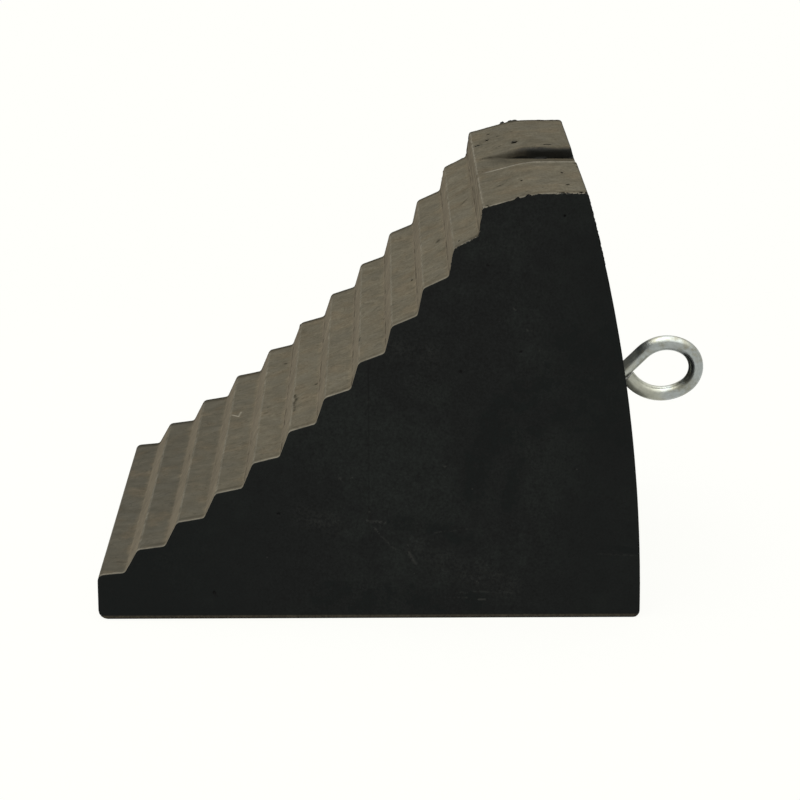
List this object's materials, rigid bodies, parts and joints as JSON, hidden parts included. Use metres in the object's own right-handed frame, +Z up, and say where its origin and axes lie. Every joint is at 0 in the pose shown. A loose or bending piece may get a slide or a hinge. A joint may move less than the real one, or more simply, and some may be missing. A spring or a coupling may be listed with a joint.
{
  "type": "rubber wheel stop",
  "caption": "Moulded rubber wheel stop with a hollow saw-tooth tread face, drafted sides, a channelled top, a curved back and a bent screw eye for a chain or rope.",
  "frame": {"origin": "centre of the base's underside, on the surface that the stop stands on", "axes": "+X from the toe to the heel and on through the screw eye, +Y across the width, +Z up"},
  "size_m": [0.3001, 0.203, 0.206],
  "materials": {
    "rubber": "matt black moulded rubber, brown-grey with dust on the treads and the top",
    "zinc_plate": "bright zinc plating on bent wire, slightly mottled"
  },
  "bodies": {
    "root": {"rubber_block": "rubber", "screw_eye": "zinc_plate"}
  },
  "joints": []
}
